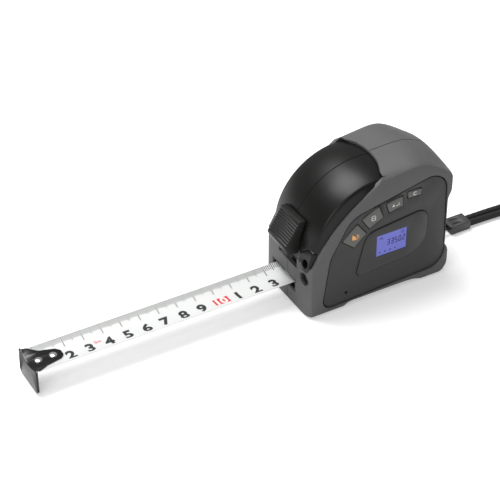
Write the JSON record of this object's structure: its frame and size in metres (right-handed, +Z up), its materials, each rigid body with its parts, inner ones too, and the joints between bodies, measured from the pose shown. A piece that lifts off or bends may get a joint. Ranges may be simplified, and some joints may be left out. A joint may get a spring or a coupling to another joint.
{
  "type": "laser distance meter",
  "caption": "Laser distance meter and tape measure in one body: grey grip, round black front cover, side display with keys, steel tape with hook, thumb lock and wrist strap.",
  "frame": {"origin": "on the surface that the feet stand on, under the middle of the model without its strap", "axes": "+X to the rear, so the tape leaves towards -X; the display side faces -Y; +Z up"},
  "size_m": [0.2996, 0.0708, 0.074],
  "materials": {
    "black_abs": "moulded black ABS, half gloss",
    "grey_rubber": "moulded-over elastomer, matte",
    "panel_abs": "moulded ABS, fine matte texture",
    "dark_window": "tinted acrylic window",
    "lcd": "backlit liquid crystal",
    "light_guide": "clear acrylic",
    "key_rubber": "silicone keys",
    "switch_steel": "stamped steel",
    "circuit_board": "solder mask",
    "cell_foil": "laminate pouch",
    "inner_plastic": "moulded plastic",
    "optic_metal": "black anodised",
    "brass": "turned",
    "laser_glass": "dark optical plastic",
    "bright_steel": "bright plated",
    "blade_steel": "white lacquered spring steel",
    "spring_steel": "blued",
    "hook_black": "black enamelled steel",
    "slider_abs": "moulded ABS",
    "brake_rubber": "moulded",
    "strap_braid": "braided polyester",
    "strap_plastic": "moulded soft plastic"
  },
  "bodies": {
    "case": {"case_left": "black_abs", "case_right": "black_abs", "grip_left": "grey_rubber", "grip_right": "grey_rubber", "keypad_panel": "panel_abs", "plain_panel": "panel_abs", "display_lens": "dark_window", "display_glass": "lcd", "backlight": "light_guide", "key_switches": "switch_steel", "main_board": "circuit_board", "battery_cell": "cell_foil", "buzzer": "inner_plastic", "charge_socket": "switch_steel", "laser_module": "optic_metal", "laser_diode": "brass", "laser_window": "laser_glass", "receiver_lens": "laser_glass", "inner_wall": "inner_plastic", "reel_axle": "bright_steel", "mouth_guard": "inner_plastic", "case_screws": "bright_steel", "strap_pin": "bright_steel", "strap_string": "strap_braid", "strap_joint": "strap_plastic", "strap_cord": "strap_braid"},
    "reel": {"reel_drum": "inner_plastic", "reel_flange": "inner_plastic", "tape_coil": "blade_steel", "power_spring": "spring_steel"},
    "tape": {"blade": "blade_steel", "hook_rivets": "bright_steel"},
    "hook": {"hook": "hook_black"},
    "lock": {"lock_slider": "slider_abs", "lock_shoe": "brake_rubber"},
    "key_laser": {"key_laser": "key_rubber"},
    "key_volume": {"key_volume": "key_rubber"},
    "key_reference": {"key_reference": "key_rubber"},
    "key_clear": {"key_clear": "key_rubber"}
  },
  "joints": [
    {"name": "tape_slide", "type": "slide", "parent": "case", "child": "tape", "axis": [1, 0, 0], "range_m": [0, 0.136], "deforming": ["blade"]},
    {"name": "reel_spin", "type": "hinge", "parent": "case", "child": "reel", "pos_m": [0.0713, 0.0035, 0.0343], "axis": [0, 1, 0], "range_deg": [-350, 0]},
    {"name": "hook_play", "type": "slide", "parent": "tape", "child": "hook", "axis": [1, 0, 0], "range_m": [0, 0.001]},
    {"name": "lock_slide", "type": "slide", "parent": "case", "child": "lock", "axis": [-0.2201, 0, -0.9755], "range_m": [0, 0.004]},
    {"name": "key_laser_press", "type": "slide", "parent": "case", "child": "key_laser", "axis": [0, 1, 0], "range_m": [0, 0.0005], "stiffness_N_per_m": 400},
    {"name": "key_volume_press", "type": "slide", "parent": "case", "child": "key_volume", "axis": [0, 1, 0], "range_m": [0, 0.0005], "stiffness_N_per_m": 400},
    {"name": "key_reference_press", "type": "slide", "parent": "case", "child": "key_reference", "axis": [0, 1, 0], "range_m": [0, 0.0005], "stiffness_N_per_m": 400},
    {"name": "key_clear_press", "type": "slide", "parent": "case", "child": "key_clear", "axis": [0, 1, 0], "range_m": [0, 0.0005], "stiffness_N_per_m": 400}
  ],
  "couplings": [
    {"joint": "reel_spin", "follows": "tape_slide", "rad_per_m": -43.478}
  ]
}
